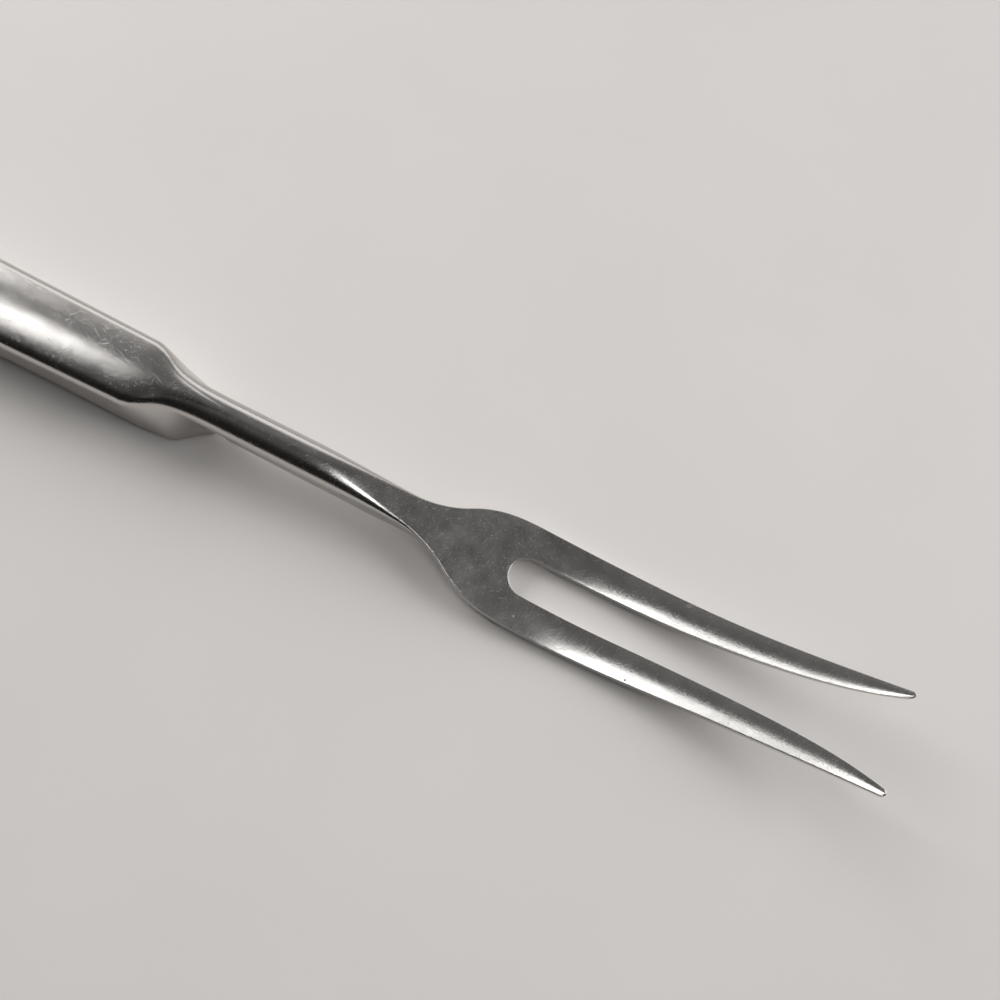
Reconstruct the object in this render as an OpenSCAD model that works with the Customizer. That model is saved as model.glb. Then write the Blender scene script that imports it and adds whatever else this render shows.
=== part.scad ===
// Two-tine carving fork, all of stainless steel, lying on its back.
// Local X runs along the fork: 0 at the root of the slot, the tips at +X, the butt at -X.
// Y is across, and the table that the fork lies on is at Z = 0.

/* [Handle] */
// Length of the handle, from the shoulder's corner to the butt
handle_l = 112; // [90:1:130]
// Width of the handle at the shoulder
handle_w = 14.5; // [13:0.1:17]
// Width of the handle near the butt
butt_w = 18; // [15:0.2:21]
// Height of the handle's top edge above the table
handle_h = 10.5; // [9.8:0.1:12.5]
// Rise of the crowned top above the handle's top edge
crown_h = 1.3; // [0.6:0.1:2]
// Rounding between the crowned top and the side walls
edge_r = 0.9; // [0.5:0.1:1.2]
// Rounding between the side walls and the flat underside
under_r = 4.4; // [3:0.1:4.6]
// Length of the rounded butt
butt_l = 7; // [5:0.5:9]
// Sheet thickness of the two half shells
wall_t = 0.8; // [0.6:0.05:1]
// Height of the seam between the half shells above the table
seam_h = 5.2; // [4.8:0.1:6]

/* [Shoulder and nose] */
// Length over which the top narrows from the handle to the shank
shoulder_l = 16; // [13:0.5:18]
// How far the nose's lower corner stands ahead of the shoulder's corner
nose_reach = 8; // [6:0.5:9]
// Length of the pointed bow ahead of the nose's lower corner
bow_l = 6.5; // [5:0.5:8]
// Length over which the keel rises from the table to the shank
keel_l = 5; // [4:0.5:7]

/* [Shank] */
// Length from the shoulder's corner to the neck
shank_l = 55.5; // [50:0.5:80]
// Width of the shank
shank_w = 6.7; // [6:0.1:7.6]
// Depth of the shank where it leaves the handle
shank_d = 5; // [4.6:0.1:5.4]
// Depth of the shank at its thickest, just behind the neck
neck_d = 5.8; // [5.2:0.1:6.2]
// Length of the tang inside the handle
tang_l = 44; // [30:1:60]
// Gap between the tang and the shells around it
tang_gap = 0.05; // [0.03:0.01:0.1]

/* [Head and tines] */
// Length of the head, from the neck to the slot's root
head_l = 24; // [20:0.5:32]
// Width of the head at its widest
head_w = 21.9; // [19:0.1:26]
// Thickness of the head
head_t = 2.2; // [1.8:0.1:2.6]
// Length of the tines, from the slot's root to the tips
tine_l = 80.5; // [65:0.5:95]
// Width over both tines at their narrowest
waist_w = 20.4; // [18.5:0.1:24]
// Width over both tips
spread_w = 21.6; // [19:0.1:26]
// Width of the slot at its root
slot_w = 8.2; // [7:0.1:9]
// Width of the slot two thirds of the way to the tips
flare_w = 10; // [8.6:0.1:11]
// Width of a tip
tip_w = 1.4; // [1:0.1:2]
// Thickness of a tip
tip_t = 1.3; // [1:0.1:1.6]
// Height of the tips' top face above the table
tip_h = 14.9; // [10:0.1:22]
// Crown across the top of each tine
tine_crown = 0.35; // [0.1:0.05:0.5]
// Rounding of the head's and the tines' edges
tine_r = 0.3; // [0.2:0.05:0.4]

/* [Hidden] */

// Places along the fork
neck_x = -head_l;
shoulder_x = neck_x - shank_l;
butt_x = shoulder_x - handle_l;
nose_x = shoulder_x + nose_reach;
bow_x = nose_x + bow_l;
mouth_x = bow_x + keel_l;
bend_x = neck_x - 21;
belly_x = 15;
flare_x = tine_l * 0.69;
waist_x = tine_l * 0.62;
tang_x = mouth_x - tang_l;
centre_x = (butt_x + tine_l) / 2;

// Smooth curve through stations [x, value, slope], level beyond the first and the last
function curve(s, x, i = 0) =
    x <= s[0][0] ? s[0][1] :
    x >= s[len(s) - 1][0] ? s[len(s) - 1][1] :
    x > s[i + 1][0] ? curve(s, x, i + 1) :
    let (span = s[i + 1][0] - s[i][0], t = (x - s[i][0]) / span)
    (1 + 2 * t) * (1 - t)^2 * s[i][1] + t * (1 - t)^2 * span * s[i][2]
    + t^2 * (3 - 2 * t) * s[i + 1][1] + t^2 * (t - 1) * span * s[i + 1][2];

function bezier(a, b, c, t) = (1 - t)^2 * a + 2 * t * (1 - t) * b + t^2 * c;

// Height of the top edge: level to the bend, down to the belly, then up along the tines
dip = (handle_h - head_t) / (belly_x - bend_x);
sweep = (tip_h - head_t) / (tine_l - belly_x);
top_line = [
    [bend_x, handle_h, 0],
    [neck_x + 10, handle_h - 0.494 * (handle_h - head_t), -1.6 * dip],
    [belly_x, head_t, 0],
    [flare_x, head_t + 0.445 * (tip_h - head_t), 1.26 * sweep],
    [tine_l, tip_h, 1.5 * sweep]
];

// Half the width of the handle's top, ending in the shank
taper = (butt_w - handle_w) / 2 / handle_l;
top_half = [
    [butt_x, butt_w / 2, 0],
    [shoulder_x - 2.5, handle_w / 2 + 2.5 * taper, -taper],
    [shoulder_x + 2.3, shank_w / 2 + (handle_w - shank_w) * 0.3, -0.74],
    [shoulder_x + shoulder_l - 2.5, shank_w / 2, 0]
];

// Half the width of the handle's underside, with the nose, the bow and the keel
under_half = [
    [butt_x, butt_w / 2, 0],
    [shoulder_x - 2.5, handle_w / 2 + 2.5 * taper, -taper],
    [nose_x - 1.6, handle_w / 2 - 0.3, -0.05],
    [nose_x + 1, handle_w / 2 - 1.55, -0.85],
    [bow_x - 0.3, 1.5, -0.5],
    [mouth_x, shank_w / 2, 0]
];

// Height of the handle's underside, level up to the bow
under_line = [
    [bow_x - 0.5, 0, 1.7],
    [mouth_x, handle_h - shank_d, 0]
];

// Rounding of the handle's lower edge, sharp at the nose and round along the grip
under_round = [
    [shoulder_x - 24, under_r, 0],
    [shoulder_x, 1, -0.12],
    [nose_x, 0.4, 0],
    [bow_x, 0.5, 0],
    [mouth_x, shank_d - edge_r - 0.8, 0]
];

// Height at which the side wall turns in towards the top, from the shoulder down to the nose
ridge_line = [
    [shoulder_x - 1, handle_h - edge_r, 0],
    [nose_x, 0.4, -1.2]
];

// Crown of the top from the handle along the shank
crown_line = [
    [shoulder_x - 4, crown_h, 0],
    [shoulder_x + shoulder_l, 0.55, 0],
    [bend_x, 0.5, 0],
    [neck_x + 8, 0, 0]
];

// Half the width of the fork from the mouth of the handle to the tips
fork_half = [
    [neck_x + 0.5, shank_w / 2, 0],
    [neck_x + 12, shank_w / 2 + 0.48 * (head_w - shank_w) / 2, 0.64],
    [6, head_w / 2, 0.02],
    [waist_x, waist_w / 2, 0],
    [tine_l, spread_w / 2, 0.03]
];

// Half the width of the slot between the tines, beyond its round root
slot_half = [
    [slot_w * 2, slot_w / 2, 0],
    [tine_l * 0.36, slot_w / 2 - 0.05, 0],
    [flare_x, flare_w / 2, 0.075],
    [tine_l, spread_w / 2 - tip_w, 0.33]
];

// Depth of the shank, head and tines below their top edge
depth_line = [
    [mouth_x, shank_d, 0],
    [neck_x - 8, neck_d, 0],
    [neck_x + 9, head_t + 0.35, -0.08],
    [0, head_t, 0],
    [belly_x, head_t, 0],
    [tine_l, tip_t, -0.02]
];

// Rounding of the shank's lower edge, as deep as the shank where it leaves the handle
low_round = [
    [mouth_x, shank_d - edge_r - 0.8, 0],
    [neck_x - 18, 1.3, 0],
    [neck_x, 0.8, 0],
    [0, tine_r * 1.5, 0]
];

// Rounding of the top edge of the shank, head and tines
top_round = [
    [bend_x, edge_r, 0],
    [neck_x + 8, tine_r, 0]
];

// Crown of each tine, from nothing at the head
tine_crown_line = [
    [2, 0, 0],
    [tine_l * 0.4, tine_crown, 0],
    [tine_l, tine_crown * 0.4, 0]
];

// Height of the seam, rising at the nose to run just below the shank's top edge
seam_line = [
    [shoulder_x - 3, seam_h, 0],
    [mouth_x, handle_h - edge_r - 0.4, 0]
];

// Share of the way down the wall's curve, from a past b to c, at which it reaches the seam
function wall_share(a, b, c, seam) =
    let (p = a - 2 * b + c, q = 2 * (b - a), r = a - seam)
    abs(p) < 0.001 ? -r / q : (-q - sqrt(max(0, q * q - 4 * p * r))) / (2 * p);

function crown_z(y, flat, top, crown) = top + crown * (1 - (y / flat)^2);

// Right side of the handle's section at x, as [y, z] points from the middle out to the seam,
// above or below it. For the hollow, inset is the wall's thickness.
function handle_side(x, inset, above) =
    let (
        wt = curve(top_half, x) - inset,
        wb = max(curve(under_half, x) - inset, 0.4),
        zb = curve(under_line, x) + inset,
        top = curve(top_line, x) - inset,
        rt = max(edge_r - inset, 0.2),
        crown = curve(crown_line, x),
        rb = max(curve(under_round, x) - inset, 0.2),
        wr = min(rb, wb - 0.1),
        seam = curve(seam_line, x),
        lean = atan(2 * crown / wt),
        zc = top - rt * cos(lean),
        flat = wt - rt + rt * sin(lean),
        low = zb + rb,
        turn = max(low, min(curve(ridge_line, x), zc)),
        cut = wall_share(zc, turn, low, seam),
        u = min(1, (x - butt_x - inset) / (butt_l - inset)),
        v = min(1, (x - butt_x - inset) / 3),
        wide = sqrt(max(0.05, 1 - (1 - u)^2)),
        tall = sqrt(max(0.16, 1 - (1 - v)^2)),
        side = above ? concat(
            [for (i = [0:4]) let (y = flat * i / 5) [y, crown_z(y, flat, top, crown)]],
            [for (i = [0:4]) let (a = lean + (90 - lean) * i / 4) [wt - rt + rt * sin(a), zc + rt * cos(a)]],
            [for (i = [1:2]) bezier([wt, zc], [wb, turn], [wb, low], cut * i / 2)]
        ) : concat(
            [[0, zb]],
            [for (i = [5:-1:0]) bezier([wb, low], [wb, zb], [wb - wr, zb], i / 5)],
            [for (i = [1:3]) bezier([wt, zc], [wb, turn], [wb, low], 1 + (cut - 1) * i / 3)]
        )
    )
    [for (p = side) [x, p[0] * wide, seam + (p[1] - seam) * tall]];

// A whole section, from the seam on one side round to the seam on the other
function handle_arch(x, inset, above) =
    let (side = handle_side(x, inset, above), n = len(side))
    concat([for (i = [n - 1:-1:1]) [x, -side[i][1], side[i][2]]], side);

// Stations along the handle: close together at the butt, the shoulder and the nose
handle_stations = concat(
    [for (i = [0:7]) butt_x + butt_l * (1 - cos(90 * i / 7))],
    [shoulder_x - 24, shoulder_x - 15, shoulder_x - 8],
    [for (x = [shoulder_x - 3:1:mouth_x - 0.5]) x],
    [mouth_x]
);
function hollow_x(x) = x > butt_x + butt_l ? x : x + wall_t * (1 - (x - butt_x) / butt_l);

// One half shell as a closed skin: the outside, the hollow, the seam's face and the open mouth.
// At the butt both skins close on a point in the middle of the seam.
module half_shell(above) {
    skins = concat(
        [for (x = handle_stations) handle_arch(x, 0, above)],
        [for (x = handle_stations) handle_arch(hollow_x(x), wall_t, above)]
    );
    n = len(skins[0]);
    rows = len(handle_stations);
    end = rows - 1;
    outer_mid = 2 * rows * n;
    inner_mid = outer_mid + 1;
    mids = [[butt_x, 0, seam_h], [butt_x + wall_t, 0, seam_h]];
    function out(i, j) = i * n + j;
    function in(i, j) = (rows + i) * n + j;
    function quad(a, b, c, d) = [[a, b, c], [a, c, d]];
    faces = concat(
        [for (i = [0:end - 1]) for (j = [0:n - 2]) each concat(
            quad(out(i, j), out(i, j + 1), out(i + 1, j + 1), out(i + 1, j)),
            quad(in(i, j), in(i + 1, j), in(i + 1, j + 1), in(i, j + 1))
        )],
        [for (i = [0:end - 1]) each concat(
            quad(out(i, 0), out(i + 1, 0), in(i + 1, 0), in(i, 0)),
            quad(out(i, n - 1), in(i, n - 1), in(i + 1, n - 1), out(i + 1, n - 1))
        )],
        [for (j = [0:n - 2]) each quad(out(end, j), out(end, j + 1), in(end, j + 1), in(end, j))],
        [for (j = [0:n - 2]) each [[outer_mid, out(0, j + 1), out(0, j)], [inner_mid, in(0, j), in(0, j + 1)]]],
        quad(out(0, 0), in(0, 0), inner_mid, outer_mid),
        quad(outer_mid, inner_mid, in(0, n - 1), out(0, n - 1))
    );
    polyhedron(
        points = concat([for (arch = skins) each arch], mids),
        faces = above ? faces : [for (f = faces) [f[0], f[2], f[1]]],
        convexity = 6
    );
}

// Shrinking of the width at the rounded end of a tip
function tip_fade(x) = x <= tine_l - tip_w / 2 ? 1 :
    sqrt(max(0.12, 1 - ((x - tine_l + tip_w / 2) / (tip_w / 2))^2));
function tine_mid(x) = (curve(fork_half, x) + curve(slot_half, x)) / 2;
function tine_half(x) = (curve(fork_half, x) - curve(slot_half, x)) / 2 * tip_fade(x);
function outer(x) = x < belly_x ? curve(fork_half, x) : tine_mid(x) + tine_half(x);
function inner(x) = x < belly_x ? slot_w / 2 : tine_mid(x) - tine_half(x);

// Stations along the fork, each [x, y, across]: the slot's edge, or the middle before the slot,
// and the direction in plan from that edge into the metal
slot_r = slot_w / 2;
before_slot = concat(
    [for (i = [0:5]) mouth_x + (bend_x - mouth_x) * i / 6],
    [for (i = [0:6]) bend_x + (neck_x - bend_x) * i / 7],
    [for (i = [0:12]) neck_x + (-0.8 - neck_x) * i / 12]
);
fork_stations = concat(
    [for (x = before_slot) [x, 0, [-1, 0]]],
    [for (i = [0:8]) let (a = 90 * i / 8) [slot_r - slot_r * cos(a), slot_r * sin(a), [-cos(a), sin(a)]]],
    [for (i = [1:4]) let (x = slot_r + (belly_x - slot_r) * i / 4) [x, inner(x), [0, 1]]],
    [for (i = [1:18]) let (x = belly_x + (tine_l - 1.2 - belly_x) * (1 - (1 - i / 18)^1.2)) [x, inner(x), [0, 1]]],
    [for (x = [tine_l - tip_w / 2, tine_l - tip_w / 5, tine_l]) [x, inner(x), [0, 1]]]
);

// Right half of a section, as [x, y, z] points from its inner edge over the top and round to the underside.
// The last two points are the slot's wall.
across = 6;
function half_section(x, edge, way, w, top, depth, rt, rb, crown, bump) =
    let (
        c = min(tine_r, (w - edge) / 3),
        in_x = x + (edge > 0 || x == 0 ? way[0] * c : 0),
        in_y = edge + (edge > 0 ? way[1] * c : 0),
        lean = atan(2 * crown / w),
        flat = w - rt + rt * sin(lean),
        zc = top - rt * cos(lean),
        wr = min(rb, w - in_y - 0.1),
        zb = top - depth
    )
    concat(
        [for (i = [0:across - 1]) let (t = i / across, y = in_y + (flat - in_y) * t)
            [in_x + (x - in_x) * t, y, crown_z(y, flat, top, crown) + bump * (1 - (2 * t - 1)^2)]],
        [for (i = [0:3]) let (a = lean + (90 - lean) * i / 3) [x, w - rt + rt * sin(a), zc + rt * cos(a)]],
        [for (i = [0:4]) let (p = bezier([w, zb + rb], [w, zb], [w - wr, zb], i / 4)) [x, p[0], p[1]]],
        [[in_x, in_y, zb], [x, edge, zb + c], [x, edge, top - c]]
    );

function blade_section(st) =
    let (x = st[0], depth = curve(depth_line, x))
    half_section(x, st[1], st[2], outer(x), curve(top_line, x), depth,
        min(curve(top_round, x), depth * 0.45), min(curve(low_round, x), depth * 0.66),
        curve(crown_line, x), curve(tine_crown_line, x));

// The tang fills the mouth of the shells, then runs back inside the handle as a slim tapered bar
tang_in = wall_t + tang_gap;
plug_w = shank_w / 2 - tang_in;
plug_top = handle_h - tang_in;
plug_d = shank_d - 2 * tang_in;
plug_round = shank_d - edge_r - 0.8 - tang_in;
function tang_section(x, w, top, depth) =
    half_section(x, 0, [-1, 0], w, top, depth, 0.3, min(plug_round, depth * 0.75), 0, 0);
tang_sections = [
    tang_section(tang_x, 1.4, plug_top - 0.4, plug_d * 0.6),
    tang_section(mouth_x - 8, plug_w * 0.72, plug_top - 0.2, plug_d * 0.72),
    tang_section(mouth_x - 1.5, plug_w * 0.8, plug_top, plug_d * 0.78),
    tang_section(mouth_x, plug_w, plug_top, plug_d)
];

// Tines, head, neck, shank and tang as one skin: two mirrored halves that share the middle up to the slot
module forging() {
    halves = concat(tang_sections, [for (st = fork_stations) blade_section(st)]);
    n = len(halves[0]);
    last = len(halves) - 1;
    root = len(tang_sections) + len(before_slot);
    skin = n - 3;
    function at(left, i, j) = (i * n + j) + (left && !(i <= root && (j == 0 || j >= skin)) ? (last + 1) * n : 0);
    function quad(left, i, j, k) = let (
        a = at(left, i, j), b = at(left, i + 1, j), c = at(left, i + 1, k), d = at(left, i, k)
    ) left ? [[a, b, c], [a, c, d]] : [[a, c, b], [a, d, c]];
    tail_mid = 2 * (last + 1) * n;
    tip_y = tine_mid(tine_l);
    tip_z = tip_h - tip_t / 2;
    polyhedron(
        points = concat(
            [for (h = halves) each h],
            [for (h = halves) for (p = h) [p[0], -p[1], p[2]]],
            [[tang_x, 0, plug_top - 1], [tine_l, tip_y, tip_z], [tine_l, -tip_y, tip_z]]
        ),
        faces = concat(
            [for (left = [false, true]) for (i = [0:last - 1]) for (j = [0:skin - 1]) each quad(left, i, j, j + 1)],
            [for (left = [false, true]) for (i = [root:last - 1]) for (j = [skin:n - 1])
                each quad(left, i, j, (j + 1) % n)],
            [for (j = [0:skin - 1]) each [
                [at(false, 0, j), tail_mid, at(false, 0, j + 1)],
                [at(true, 0, j), at(true, 0, j + 1), tail_mid]
            ]],
            [for (j = [0:n - 1]) let (k = (j + 1) % n) each [
                [at(false, last, j), at(false, last, k), tail_mid + 1],
                [at(true, last, k), at(true, last, j), tail_mid + 2]
            ]]
        ),
        convexity = 8
    );
}

module fork() {
    color("silver") translate([-centre_x, 0, 0]) forging();
}

module upper_handle_shell() {
    color("lightgray") translate([-centre_x, 0, 0]) half_shell(true);
}

module lower_handle_shell() {
    color("gainsboro") translate([-centre_x, 0, 0]) half_shell(false);
}

fork();
upper_handle_shell();
lower_handle_shell();
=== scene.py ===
import math

import bmesh
import bpy
from mathutils import Matrix, Vector


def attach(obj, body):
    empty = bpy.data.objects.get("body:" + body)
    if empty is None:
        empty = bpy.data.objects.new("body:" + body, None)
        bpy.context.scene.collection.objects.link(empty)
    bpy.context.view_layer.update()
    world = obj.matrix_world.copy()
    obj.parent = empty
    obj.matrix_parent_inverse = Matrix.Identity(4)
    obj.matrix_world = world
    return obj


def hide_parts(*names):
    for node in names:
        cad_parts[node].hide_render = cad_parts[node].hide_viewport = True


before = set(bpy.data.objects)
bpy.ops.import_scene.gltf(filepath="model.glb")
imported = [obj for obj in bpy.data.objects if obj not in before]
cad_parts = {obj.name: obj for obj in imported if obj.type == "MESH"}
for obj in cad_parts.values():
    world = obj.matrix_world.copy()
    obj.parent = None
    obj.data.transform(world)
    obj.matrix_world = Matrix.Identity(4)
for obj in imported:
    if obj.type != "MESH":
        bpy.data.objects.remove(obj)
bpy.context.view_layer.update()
print("stage: CAD frame loaded")

# What a user would change, one dictionary per piece. Lengths are in millimetres and run as in
# part.scad: X is 0 at the root of the slot, with the tips at +X. Colours are sRGB.
forkPiece = {
    "tineLength": 80.5,
    "headLength": 24.0,
    "headWidth": 21.9,
    "headThickness": 2.2,
    "waistWidth": 20.4,
    "spreadWidth": 21.6,
    "slotWidth": 8.2,
    "slotFlare": 10.0,
    "tipWidth": 1.4,
    "tipThickness": 1.3,
    "tipHeight": 14.9,
    "tineCrown": 0.35,
    "edgeRound": 0.3,
    "slotRim": 0.14,
    "shankLength": 55.5,
    "shankHalf": 3.8,
    "shankDepth": 5.0,
    "neckDepth": 5.8,
    "tangLength": 44.0,
    "colour": "#c9c7c4",
    "roughness": 0.24,
    "roughnessSpread": 0.06,
    "grainDepth": 0.008,
    "brushDepth": 0.005,
    "waveDepth": 0.035,
    "scratchDepth": 0.002,
    "pitDepth": 0.04,
}
upperShellPiece = {
    "length": 112.0,
    "shoulderWidth": 14.5,
    "buttWidth": 18.0,
    "height": 10.5,
    "crown": 0.68,
    "edgeRound": 2.6,
    "buttLength": 7.0,
    "wall": 0.8,
    "seamHeight": 5.2,
    "shoulderLength": 16.0,
    "colour": "#c7c4c1",
    "roughness": 0.2,
    "roughnessSpread": 0.06,
    "grainDepth": 0.018,
    "brushDepth": 0.008,
    "waveDepth": 0.03,
    "scratchDepth": 0.003,
    "pitDepth": 0.04,
}
steelSurface = {
    "grainSize": 0.3,
    "brushWidth": 0.11,
    "brushStretch": 24.0,
    "brushTurn": -0.6,
    "waveSize": 9.0,
    "wearSize": 5.0,
    "scratches": ((0.62, 0.16), (-0.5, 0.12), (1.25, 0.12)),
    "scratchStretch": 60.0,
    "scratchFloor": 0.69,
    "scratchHaze": 0.1,
    "pitSpacing": 9.0,
}
lowerShellPiece = dict(upperShellPiece, underRound=4.4, noseReach=8.0, bowLength=6.5, keelLength=5.0)

neckX = -forkPiece["headLength"]
shoulderX = neckX - forkPiece["shankLength"]
buttX = shoulderX - upperShellPiece["length"]
noseX = shoulderX + lowerShellPiece["noseReach"]
bowX = noseX + lowerShellPiece["bowLength"]
mouthX = bowX + lowerShellPiece["keelLength"]
bendX = neckX - 21
bellyX = 15.0
tipX = forkPiece["tineLength"]
flareX = tipX * 0.69
waistX = tipX * 0.62
tangX = mouthX - forkPiece["tangLength"]
centreX = (buttX + tipX) / 2
shankHalf = forkPiece["shankHalf"]
slotRadius = forkPiece["slotWidth"] / 2
shoulderHalf = upperShellPiece["shoulderWidth"] / 2
buttHalf = upperShellPiece["buttWidth"] / 2
gripHeight = upperShellPiece["height"]
headThickness = forkPiece["headThickness"]
tipHeight = forkPiece["tipHeight"]
wall = upperShellPiece["wall"]
taper = (buttHalf - shoulderHalf) / upperShellPiece["length"]
dip = (gripHeight - headThickness) / (bellyX - bendX)
sweep = (tipHeight - headThickness) / (tipX - bellyX)

# Lines along the fork, each a list of (x, value, slope)
topLine = [
    (bendX, gripHeight, 0),
    (neckX + 10, gripHeight - 0.494 * (gripHeight - headThickness), -1.6 * dip),
    (bellyX, headThickness, 0),
    (flareX, headThickness + 0.445 * (tipHeight - headThickness), 1.26 * sweep),
    (tipX, tipHeight, 1.5 * sweep),
]
topLift = [(shoulderX - 4, 1.08, 0), (mouthX, 1.25, 0), (bendX, 1.25, 0), (neckX + 8, 0, 0)]
topRound = [
    (shoulderX - 4, upperShellPiece["edgeRound"], 0),
    (mouthX, shankHalf - 0.45, 0),
    (bendX, shankHalf - 0.45, 0),
    (neckX + 8, forkPiece["edgeRound"], 0),
]
crownLine = [
    (shoulderX - 4, upperShellPiece["crown"], 0),
    (mouthX, 0.05, 0),
    (bendX, 0.05, 0),
    (neckX + 8, 0, 0),
]
topHalf = [
    (buttX, buttHalf, 0),
    (buttX + 60, buttHalf - 60 * taper + 0.32, -taper),
    (shoulderX - 2.5, shoulderHalf + 2.5 * taper + 0.32, -taper),
    (shoulderX + 2.8, shankHalf + (shoulderHalf - shankHalf) * 0.57, -0.6),
    (shoulderX + 6.5, shankHalf + 0.55, -0.18),
    (shoulderX + upperShellPiece["shoulderLength"] - 2.5, shankHalf, 0),
]
underHalf = [
    (buttX, buttHalf, 0),
    (buttX + 60, buttHalf - 60 * taper + 0.32, -taper),
    (shoulderX - 2.5, shoulderHalf + 2.5 * taper + 0.3, -taper),
    (noseX - 1.6, shoulderHalf - 0.25, -0.07),
    (noseX + 1, shoulderHalf - 1.55, -0.85),
    (bowX - 0.3, 1.5, -0.5),
    (mouthX, shankHalf, 0),
]
underLine = [(bowX - 0.5, 0, 1.7), (mouthX, gripHeight - forkPiece["shankDepth"], 0)]
underRound = [
    (shoulderX - 24, lowerShellPiece["underRound"], 0),
    (shoulderX, 1, -0.12),
    (noseX, 0.4, 0),
    (bowX, 0.5, 0),
    (mouthX, 2.3, 0),
]
underWide = underRound[:4] + [(mouthX, 3.5, 0)]
ridgeLine = [(shoulderX - 1, gripHeight - 0.9, 0), (noseX, 0.4, -1.2)]
seamLine = [(shoulderX - 3, upperShellPiece["seamHeight"], 0), (mouthX, 8.05, 0)]
forkHalf = [
    (bendX, shankHalf, 0),
    (neckX + 0.5, shankHalf - 0.4, 0.02),
    (neckX + 12, 3.35 + 0.48 * (forkPiece["headWidth"] / 2 - 3.35), 0.64),
    (6, forkPiece["headWidth"] / 2, 0.02),
    (waistX, forkPiece["waistWidth"] / 2, 0),
    (tipX, forkPiece["spreadWidth"] / 2, 0.03),
]
slotHalf = [
    (forkPiece["slotWidth"] * 2, slotRadius, 0),
    (tipX * 0.36, slotRadius - 0.05, 0),
    (flareX, forkPiece["slotFlare"] / 2, 0.075),
    (tipX, forkPiece["spreadWidth"] / 2 - forkPiece["tipWidth"], 0.33),
]
depthLine = [
    (mouthX, forkPiece["shankDepth"], 0),
    (neckX - 8, forkPiece["neckDepth"], 0),
    (neckX + 9, headThickness + 0.35, -0.08),
    (0, headThickness, 0),
    (bellyX, headThickness, 0),
    (tipX, forkPiece["tipThickness"], -0.02),
]
lowDeep = [(mouthX, 2.3, 0), (neckX - 18, 1.9, 0), (neckX, 0.9, 0), (0, forkPiece["edgeRound"] * 1.5, 0)]
lowWide = [(mouthX, 3.5, 0), (neckX - 18, 2.5, 0), (neckX, 1.2, 0), (0, forkPiece["edgeRound"] * 1.5, 0)]
tineCrownLine = [
    (2, 0, 0),
    (tipX * 0.4, forkPiece["tineCrown"], 0),
    (tipX, forkPiece["tineCrown"] * 0.4, 0),
]


def curve(stations, x):
    # Smooth through the stations and level beyond both ends
    if x <= stations[0][0]:
        return stations[0][1]
    for (xa, va, ma), (xb, vb, mb) in zip(stations, stations[1:]):
        if x <= xb:
            span = xb - xa
            t = (x - xa) / span
            return (
                (1 + 2 * t) * (1 - t) ** 2 * va
                + t * (1 - t) ** 2 * span * ma
                + t * t * (3 - 2 * t) * vb
                + t * t * (t - 1) * span * mb
            )
    return stations[-1][1]


def bend(a, b, c, t):
    return [(1 - t) ** 2 * p + 2 * t * (1 - t) * q + t * t * r for p, q, r in zip(a, b, c)]


def crownHeight(y, flat, top, crown):
    return top + crown * (1 - (y / flat) ** 2)


def closedPiece(name, points, faces, sharpAngle):
    # Points in part.scad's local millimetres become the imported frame's metres
    mesh = bpy.data.meshes.new(name)
    mesh.from_pydata([((x - centreX) / 1000, y / 1000, z / 1000) for x, y, z in points], [], faces)
    work = bmesh.new()
    work.from_mesh(mesh)
    bmesh.ops.remove_doubles(work, verts=work.verts, dist=1e-6)
    bmesh.ops.delete(work, geom=[v for v in work.verts if not v.link_faces], context="VERTS")
    bmesh.ops.recalc_face_normals(work, faces=work.faces)
    openEdges = sum(1 for e in work.edges if len(e.link_faces) != 2)
    print("mesh", name, "faces", len(work.faces), "open edges", openEdges)
    work.to_mesh(mesh)
    work.free()
    mesh.shade_smooth()
    mesh.set_sharp_from_angle(angle=math.radians(sharpAngle))
    piece = bpy.data.objects.new(name, mesh)
    bpy.context.scene.collection.objects.link(piece)
    return piece


# Handle: each half shell is one skin, outside and hollow, as in the CAD
def wallShare(a, b, c, seam):
    p, q, r = a - 2 * b + c, 2 * (b - a), a - seam
    if abs(p) < 0.001:
        return -r / q
    return (-q - math.sqrt(max(0, q * q - 4 * p * r))) / (2 * p)


def roundingEnd(wt, rt, zc, lean, wb, turn):
    # Angle at which the rounded top edge runs straight into the wall, upright where the wall is
    first, last = lean, math.pi / 2
    if wb <= wt:
        return last
    for step in range(30):
        a = (first + last) / 2
        outward = wb - (wt - rt + rt * math.sin(a))
        downward = zc + rt * math.cos(a) - turn
        if math.sin(a) * outward > math.cos(a) * downward:
            last = a
        else:
            first = a
    return last


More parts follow.
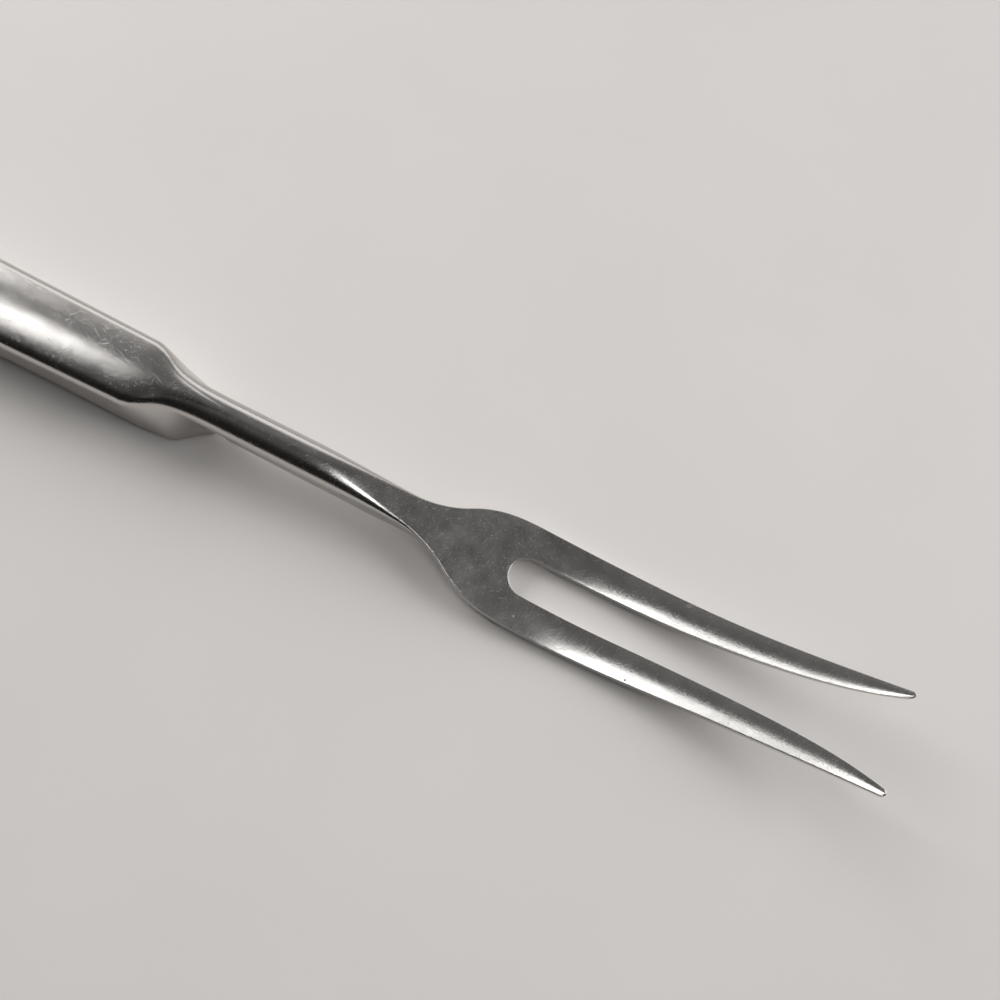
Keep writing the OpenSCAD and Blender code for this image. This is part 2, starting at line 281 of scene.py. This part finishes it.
def handleArch(x, inset, above):
    wt = curve(topHalf, x) - inset
    wb = max(curve(underHalf, x) - inset, 0.4)
    zb = curve(underLine, x) + inset
    top = curve(topLine, x) + curve(topLift, x) - inset
    rt = max(curve(topRound, x) - inset, 0.2)
    crown = curve(crownLine, x)
    rb = max(curve(underRound, x) - inset, 0.2)
    wr = min(max(curve(underWide, x) - inset, 0.2), wb - 0.1)
    seam = curve(seamLine, x)
    lean = math.atan(2 * crown / wt)
    zc = top - rt * math.cos(lean)
    flat = wt - rt + rt * math.sin(lean)
    low = zb + rb
    turn = max(low, min(curve(ridgeLine, x), zc))
    last = roundingEnd(wt, rt, zc, lean, wb, turn)
    corner = (wt - rt + rt * math.sin(last), zc + rt * math.cos(last))
    cut = wallShare(corner[1], turn, low, seam)
    if above:
        side = [(flat * i / 14, crownHeight(flat * i / 14, flat, top, crown)) for i in range(14)]
        angles = [lean + (last - lean) * i / 12 for i in range(13)]
        side += [(wt - rt + rt * math.sin(a), zc + rt * math.cos(a)) for a in angles]
        side += [bend(corner, (wb, turn), (wb, low), cut * i / 6) for i in range(1, 7)]
    else:
        side = [((wb - wr) * i / 6, zb) for i in range(6)]
        side += [bend((wb, low), (wb, zb), (wb - wr, zb), i / 8) for i in range(8, -1, -1)]
        side += [bend(corner, (wb, turn), (wb, low), 1 + (cut - 1) * i / 6) for i in range(1, 7)]
    u = min(1, (x - buttX - inset) / (upperShellPiece["buttLength"] - inset))
    v = min(1, (x - buttX - inset) / 3)
    wide = math.sqrt(max(0.05, 1 - (1 - u) ** 2))
    tall = math.sqrt(max(0.16, 1 - (1 - v) ** 2))
    side = [(y * wide, seam + (z - seam) * tall) for y, z in side]
    return [(x, -y, z) for y, z in reversed(side[1:])] + [(x, y, z) for y, z in side]


def hollowX(x):
    if x > buttX + upperShellPiece["buttLength"]:
        return x
    return x + wall * (1 - (x - buttX) / upperShellPiece["buttLength"])


def halfShell(name, above):
    buttLength = upperShellPiece["buttLength"]
    stations = [buttX + buttLength * (1 - math.cos(math.pi / 2 * i / 20)) for i in range(21)]
    while stations[-1] < shoulderX - 8:
        stations.append(stations[-1] + 2)
    while stations[-1] < mouthX - 0.75:
        stations.append(stations[-1] + 0.5)
    stations.append(mouthX)
    outside = [handleArch(x, 0, above) for x in stations]
    hollow = [handleArch(hollowX(x), wall, above) for x in stations]
    n = len(outside[0])
    rows = len(stations)
    points = [p for arch in outside + hollow for p in arch]
    points += [(buttX, 0, upperShellPiece["seamHeight"]), (buttX + wall, 0, upperShellPiece["seamHeight"])]
    inner = rows * n
    outMid = 2 * rows * n
    inMid = outMid + 1
    faces = []
    for i in range(rows - 1):
        a, b = i * n, (i + 1) * n
        for j in range(n - 1):
            faces.append((a + j, a + j + 1, b + j + 1, b + j))
            faces.append((inner + a + j, inner + b + j, inner + b + j + 1, inner + a + j + 1))
        faces.append((a, b, inner + b, inner + a))
        faces.append((a + n - 1, inner + a + n - 1, inner + b + n - 1, b + n - 1))
    mouth = (rows - 1) * n
    for j in range(n - 1):
        faces.append((mouth + j, mouth + j + 1, inner + mouth + j + 1, inner + mouth + j))
        faces.append((outMid, j + 1, j))
        faces.append((inMid, inner + j, inner + j + 1))
    faces.append((0, inner, inMid, outMid))
    faces.append((outMid, inMid, inner + n - 1, n - 1))
    return closedPiece(name, points, faces, 38)


# Fork: two mirrored halves that share the middle up to the slot's root
def tipFade(x):
    half = forkPiece["tipWidth"] / 2
    if x <= tipX - half:
        return 1
    return math.sqrt(max(0.12, 1 - ((x - tipX + half) / half) ** 2))


def tineMiddle(x):
    return (curve(forkHalf, x) + curve(slotHalf, x)) / 2


def tineHalf(x):
    return (curve(forkHalf, x) - curve(slotHalf, x)) / 2 * tipFade(x)


def outerEdge(x):
    return curve(forkHalf, x) if x < bellyX else tineMiddle(x) + tineHalf(x)


def innerEdge(x):
    return slotRadius if x < bellyX else tineMiddle(x) - tineHalf(x)


rowPoints = 14
floorPoints = 4
arcPoints = 5


def halfSection(x, edge, way, w, top, depth, rt, rb, rw, crown, bulge):
    c = min(forkPiece["slotRim"], (w - edge) / 3)
    slotted = edge > 0 or x == 0
    inX = x + (way[0] * c if slotted else 0)
    inY = edge + (way[1] * c if slotted else 0)
    lean = math.atan(2 * crown / w)
    flat = w - rt + rt * math.sin(lean)
    zc = top - rt * math.cos(lean)
    zb = top - depth
    rb = min(rb, zc - zb - 0.05)
    rw = min(rw, w - inY - 0.1)
    section = []
    for i in range(rowPoints):
        t = i / rowPoints
        y = inY + (flat - inY) * t
        z = crownHeight(y, flat, top, crown) + bulge * (1 - (2 * t - 1) ** 2)
        section.append((inX + (x - inX) * t, y, z))
    for i in range(10):
        a = lean + (math.pi / 2 - lean) * i / 9
        section.append((x, w - rt + rt * math.sin(a), zc + rt * math.cos(a)))
    for i in range(9):
        y, z = bend((w, zb + rb), (w, zb), (w - rw, zb), i / 8)
        section.append((x, y, z))
    for i in range(1, floorPoints + 1):
        t = i / floorPoints
        section.append((x + (inX - x) * t, w - rw + (inY - w + rw) * t, zb))
    skin = len(section)
    innerTop = crownHeight(inY, flat, top, crown)
    for turnUp in (True, False):
        for i in range(1, arcPoints + 1):
            a = math.pi / 2 * (i / arcPoints if turnUp else 1 - (i - 1) / arcPoints)
            back = c * (1 - math.sin(a))
            z = zb + c * (1 - math.cos(a)) if turnUp else innerTop - c * (1 - math.cos(a))
            section.append((x + way[0] * back, edge + way[1] * back, z))
    return section, skin


def bladeSection(x, edge, way):
    lift = curve(topLift, x)
    depth = curve(depthLine, x) + lift
    return halfSection(
        x, edge, way, outerEdge(x), curve(topLine, x) + lift, depth,
        min(curve(topRound, x), depth * (0.55 if x < neckX else 0.45)),
        min(curve(lowDeep, x), depth * 0.66), curve(lowWide, x),
        curve(crownLine, x), curve(tineCrownLine, x),
    )


def tangSection(x, w, top, depth):
    low = min(2.45, depth * 0.75)
    return halfSection(x, 0, (-1, 0), w, top, depth, 0.3, low, low, 0, 0)


def forging(name):
    plugHalf, plugTop, plugDepth = 2.5, gripHeight - 0.85, forkPiece["shankDepth"] - 1.7
    halves = [
        tangSection(tangX, 1.4, plugTop - 0.4, plugDepth * 0.6),
        tangSection(mouthX - 8, plugHalf * 0.72, plugTop - 0.2, plugDepth * 0.72),
        tangSection(mouthX - 1.5, plugHalf * 0.8, plugTop, plugDepth * 0.78),
        tangSection(mouthX, plugHalf, plugTop, plugDepth),
    ]
    before = []
    x = mouthX
    while x < -1.3:
        before.append(x)
        x += 0.75
    before.append(-0.8)
    halves += [bladeSection(x, 0, (-1, 0)) for x in before]
    root = len(halves)
    for i in [0] + list(range(3, 31)):
        a = math.pi / 2 * i / 30
        x = 0 if i == 0 else slotRadius * (1 - math.cos(a))
        halves.append(bladeSection(x, slotRadius * math.sin(a), (-math.cos(a), math.sin(a))))
    plain = [slotRadius + (bellyX - slotRadius) * i / 14 for i in range(1, 15)]
    plain += [bellyX + (tipX - 1.2 - bellyX) * (1 - (1 - i / 110) ** 1.2) for i in range(1, 111)]
    plain += [tipX - forkPiece["tipWidth"] / 2 * (1 - s) for s in (0, 0.25, 0.45, 0.62, 0.76, 0.88, 0.96, 1)]
    halves += [bladeSection(x, innerEdge(x), (0, 1)) for x in plain]
    skin = halves[0][1]
    sections = [section for section, size in halves]
    n = len(sections[0])
    last = len(sections) - 1
    points = [p for section in sections for p in section]
    points += [(x, -y, z) for x, y, z in points]
    mirror = len(sections) * n
    faces = []
    for start in (0, mirror):
        for i in range(last):
            around = n if i >= root else skin - 1
            for j in range(around):
                k = (j + 1) % n
                a, b = start + i * n, start + (i + 1) * n
                faces.append((a + j, a + k, b + k, b + j))
        tipMiddle = len(points)
        side = 1 if start == 0 else -1
        points.append((tipX, side * tineMiddle(tipX), tipHeight - forkPiece["tipThickness"] / 2))
        for j in range(n):
            faces.append((start + last * n + j, start + last * n + (j + 1) % n, tipMiddle))
    tailMiddle = len(points)
    points.append((tangX, 0, plugTop - 1))
    for start in (0, mirror):
        for j in range(skin - 1):
            faces.append((start + j, start + j + 1, tailMiddle))
    return closedPiece(name, points, faces, 38)


upperShell = halfShell("upperHandleShell", True)
lowerShell = halfShell("lowerHandleShell", False)
fork = forging("forgedFork")
for piece, node, slotName in (
    (fork, "fork", "satin_stainless_steel"),
    (upperShell, "upper_handle_shell", "brushed_stainless_handle"),
    (lowerShell, "lower_handle_shell", "brushed_stainless_handle"),
):
    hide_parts(node)
    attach(piece, "root")
print("stage: pieces built")


def linear(colour):
    # sRGB hex to linear
    parts = [int(colour[i : i + 2], 16) / 255 for i in (1, 3, 5)]
    return [p / 12.92 if p <= 0.04045 else ((p + 0.055) / 1.055) ** 2.4 for p in parts] + [1]


def perMm(size):
    # Texture scale that gives features of this many millimetres on coordinates in metres
    return 1000 / size


def add(tree, kind, settings=None, links=None):
    node = tree.nodes.new(kind)
    for name, value in (settings or {}).items():
        if isinstance(name, int) or name in node.inputs:
            node.inputs[name].default_value = value
        else:
            setattr(node, name, value)
    for name, source in (links or {}).items():
        tree.links.new(source, node.inputs[name])
    return node


def steel(name):
    material = bpy.data.materials.new(name)
    material.use_nodes = True
    tree = material.node_tree
    tree.nodes.clear()
    place = add(tree, "ShaderNodeTexCoord").outputs["Object"]
    # The handle's finish runs out into the fork's along the shank, as both were brushed together
    lengthwise = add(tree, "ShaderNodeSeparateXYZ", None, {"Vector": place}).outputs["X"]
    reach = {"From Min": (mouthX - centreX) / 1000, "From Max": (neckX - centreX) / 1000}
    share = add(
        tree, "ShaderNodeMapRange", dict(reach, interpolation_type="SMOOTHSTEP"), {"Value": lengthwise}
    ).outputs["Result"]

    def finish(key, factor=1.0, offset=0.0):
        settings = {
            "To Min": (upperShellPiece[key] + offset * upperShellPiece["roughnessSpread"]) * factor,
            "To Max": (forkPiece[key] + offset * forkPiece["roughnessSpread"]) * factor,
        }
        return add(tree, "ShaderNodeMapRange", settings, {"Value": share}).outputs["Result"]

    # Grain left by the satin belt, about as coarse as the sparkles in the photo
    grain = add(
        tree, "ShaderNodeTexNoise",
        {"Scale": perMm(steelSurface["grainSize"]), "Detail": 2.5, "Roughness": 0.6}, {"Vector": place},
    ).outputs["Fac"]
    # Brush lines aslant across the fork
    drawn = add(
        tree, "ShaderNodeMapping",
        {
            "vector_type": "TEXTURE",
            "Rotation": (0, 0, steelSurface["brushTurn"]),
            "Scale": (steelSurface["brushStretch"], 1, 1),
        },
        {"Vector": place},
    ).outputs["Vector"]
    brush = add(
        tree, "ShaderNodeTexNoise",
        {"Scale": perMm(steelSurface["brushWidth"]), "Detail": 2.0},
        {"Vector": drawn},
    ).outputs["Fac"]
    # Slow waves of the hand grinding, and patches of more and less wear
    wave = add(
        tree, "ShaderNodeTexNoise",
        {"Scale": perMm(steelSurface["waveSize"]), "Detail": 2.0},
        {"Vector": place},
    ).outputs["Fac"]
    smear = add(
        tree, "ShaderNodeTexNoise",
        {"Scale": perMm(steelSurface["wearSize"]), "Detail": 4.0, "Roughness": 0.65}, {"Vector": place},
    ).outputs["Fac"]
    # Families of fine straight scratches from use
    scratch = None
    for turnAngle, width in steelSurface["scratches"]:
        line = add(
            tree, "ShaderNodeMapping",
            {
                "vector_type": "TEXTURE",
                "Rotation": (0, 0, turnAngle),
                "Scale": (steelSurface["scratchStretch"], 1, 1),
            },
            {"Vector": place},
        ).outputs["Vector"]
        streak = add(
            tree, "ShaderNodeTexNoise",
            {"Scale": perMm(width), "Detail": 1.0},
            {"Vector": line},
        ).outputs["Fac"]
        mark = add(
            tree, "ShaderNodeMapRange",
            {"From Min": steelSurface["scratchFloor"], "From Max": 0.78},
            {"Value": streak},
        ).outputs["Result"]
        if scratch is None:
            scratch = mark
        else:
            scratch = add(tree, "ShaderNodeMath", {"operation": "MAXIMUM"}, {0: scratch, 1: mark}).outputs[0]
    # Sparse pits a few tenths of a millimetre across
    cells = add(
        tree, "ShaderNodeTexVoronoi", {"Scale": perMm(steelSurface["pitSpacing"])}, {"Vector": place}
    ).outputs["Distance"]
    pit = add(
        tree, "ShaderNodeMapRange",
        {"From Min": 0.018, "From Max": 0.03, "To Min": 1.0, "To Max": 0.0},
        {"Value": cells},
    ).outputs["Result"]
    normal = None
    for height, depth, sunk in (
        (wave, "waveDepth", False), (grain, "grainDepth", False), (brush, "brushDepth", False),
        (scratch, "scratchDepth", True), (pit, "pitDepth", True),
    ):
        links = {"Height": height, "Distance": finish(depth, 0.001)}
        if normal is not None:
            links["Normal"] = normal
        normal = add(tree, "ShaderNodeBump", {"Strength": 1.0, "invert": sunk}, links).outputs["Normal"]
    rough = add(
        tree, "ShaderNodeMapRange", {"From Min": 0.3, "From Max": 0.7},
        {
            "Value": smear,
            "To Min": finish("roughness", offset=-0.5),
            "To Max": finish("roughness", offset=0.5),
        },
    ).outputs["Result"]
    worn = add(
        tree, "ShaderNodeMath",
        {"operation": "MULTIPLY_ADD", 1: steelSurface["scratchHaze"]},
        {0: scratch, 2: rough},
    ).outputs[0]
    clean = add(
        tree, "ShaderNodeMix",
        {"data_type": "RGBA", 6: linear(upperShellPiece["colour"]), 7: linear(forkPiece["colour"])},
        {0: share},
    ).outputs[2]
    shade = add(
        tree, "ShaderNodeMix",
        {"data_type": "RGBA", 7: linear("#6b6663")},
        {0: pit, 6: clean},
    ).outputs[2]
    shader = add(
        tree, "ShaderNodeBsdfPrincipled",
        {"Metallic": 1.0},
        {"Base Color": shade, "Roughness": worn, "Normal": normal},
    )
    add(tree, "ShaderNodeOutputMaterial", None, {"Surface": shader.outputs["BSDF"]})
    return material


# Satin stainless steel: 18/10 cutlery steel, forged, ground and finished on a fine belt. The eye gets a
# soft mirror that goes dark on the flat head and white on the tines, with fine scratches across.
forkSteel = steel("satinStainlessSteel")
# Brushed stainless sheet: two pressed half shells, brazed, ground flush and brushed over the seam. The
# eye gets a broader sheen that breaks up into small sparkles along the crowned top.
handleSteel = steel("brushedStainlessHandle")
fork.data.materials.append(forkSteel)
upperShell.data.materials.append(handleSteel)
lowerShell.data.materials.append(handleSteel)
print("stage: materials made")

# White laminate table: a smooth matt sheet. The eye gets an even pale ground with a faint mottle.
floorMesh = bpy.data.meshes.new("tableTop")
floorMesh.from_pydata([(-0.9, -0.9, 0), (0.9, -0.9, 0), (0.9, 0.9, 0), (-0.9, 0.9, 0)], [], [(0, 1, 2, 3)])
floor = bpy.data.objects.new("tableTop", floorMesh)
floor.location.z = -0.00002
bpy.context.scene.collection.objects.link(floor)
table = bpy.data.materials.new("whiteMattLaminate")
table.use_nodes = True
tableTree = table.node_tree
tableTree.nodes.clear()
tablePlace = add(tableTree, "ShaderNodeTexCoord").outputs["Object"]
mottle = add(
    tableTree, "ShaderNodeTexNoise",
    {"Scale": perMm(45), "Detail": 3.0},
    {"Vector": tablePlace},
).outputs["Fac"]
tableColour = add(
    tableTree, "ShaderNodeMix", {"data_type": "RGBA", 6: linear("#e3dfdc"), 7: linear("#e9e5e2")}, {0: mottle}
).outputs[2]
tableShader = add(
    tableTree, "ShaderNodeBsdfPrincipled",
    {"Roughness": 0.75, "Specular IOR Level": 0.2},
    {"Base Color": tableColour},
)
add(tableTree, "ShaderNodeOutputMaterial", None, {"Surface": tableShader.outputs["BSDF"]})
floorMesh.materials.append(table)

# Room light: a pale wall behind the fork, a dim ceiling and a dark front
world = bpy.data.worlds.new("studioRoom")
bpy.context.scene.world = world
world.use_nodes = True
worldTree = world.node_tree
worldTree.nodes.clear()
toward = add(worldTree, "ShaderNodeTexCoord").outputs["Generated"]
behind = add(
    worldTree, "ShaderNodeVectorMath",
    {"operation": "DOT_PRODUCT", 1: (-0.45, 0.89, 0)},
    {0: toward},
).outputs["Value"]
share = add(
    worldTree, "ShaderNodeMapRange",
    {"From Min": -1.0, "From Max": 1.0},
    {"Value": behind},
).outputs["Result"]
ramp = add(worldTree, "ShaderNodeValToRGB", None, {"Fac": share})
levels = [
    (0.0, 0.01),
    (0.3, 0.015),
    (0.5, 0.04),
    (0.62, 0.055),
    (0.68, 0.10),
    (0.8, 0.15),
    (0.88, 0.2),
    (0.92, 1.2),
    (1.0, 1.35),
]
while len(ramp.color_ramp.elements) < len(levels):
    ramp.color_ramp.elements.new(0.5)
for stop, (position, level) in zip(ramp.color_ramp.elements, levels):
    stop.position = position
    stop.color = (level, level * 0.985, level * 0.97, 1)
height = add(worldTree, "ShaderNodeSeparateXYZ", None, {"Vector": toward}).outputs["Z"]
rise = add(
    worldTree, "ShaderNodeMapRange",
    {"From Min": 0.08, "From Max": 0.16, "To Min": 0.12, "To Max": 1.0},
    {"Value": height},
).outputs["Result"]
backdrop = add(worldTree, "ShaderNodeBackground", None, {"Color": ramp.outputs["Color"], "Strength": rise})
add(worldTree, "ShaderNodeOutputWorld", None, {"Surface": backdrop.outputs["Background"]})


def softbox(name, place, aim, size, watts, colour="#ffffff"):
    lamp = bpy.data.lights.new(name, "AREA")
    lamp.shape = "RECTANGLE"
    lamp.size, lamp.size_y = size
    lamp.energy = watts
    lamp.color = linear(colour)[:3]
    holder = bpy.data.objects.new(name, lamp)
    holder.location = place
    holder.rotation_euler = (Vector(place) - Vector(aim)).to_track_quat("Z", "Y").to_euler()
    bpy.context.scene.collection.objects.link(holder)


softbox("stripOverHandle", (-0.254, 0.045, 0.4), (-0.09, 0, 0.01), (0.13, 0.05), 0.10)
softbox("stripOverTines", (0.092, -0.06, 0.4), (0.09, 0, 0.01), (0.045, 0.2), 0.2)
softbox("keyLeftBack", (-0.8, 0.35, 0.38), (0, 0, 0), (0.6, 0.6), 7.6)
softbox("fillRightBack", (0.75, 0.42, 0.4), (0, 0, 0), (0.6, 0.6), 5.4)
print("stage: floor and light set")

# The photo's camera, fitted to the outlines
up = Vector((-0.4475, 0.83931, 0.30872)).normalized()
back = Vector((0.00233, -0.34411, 0.93892)).normalized()
right = up.cross(back).normalized()
pose = Matrix((right, up, back)).transposed().to_4x4()
pose.translation = Vector((0.048063, -0.058138, 0.194766))
cameraData = bpy.data.cameras.new("photoCamera")
cameraData.lens = 36
cameraData.sensor_width = 36
cameraData.clip_start = 0.01
camera = bpy.data.objects.new("photoCamera", cameraData)
camera.matrix_world = pose
bpy.context.scene.collection.objects.link(camera)
bpy.context.scene.camera = camera
bpy.context.scene.view_settings.view_transform = "Standard"
print("stage: camera placed")
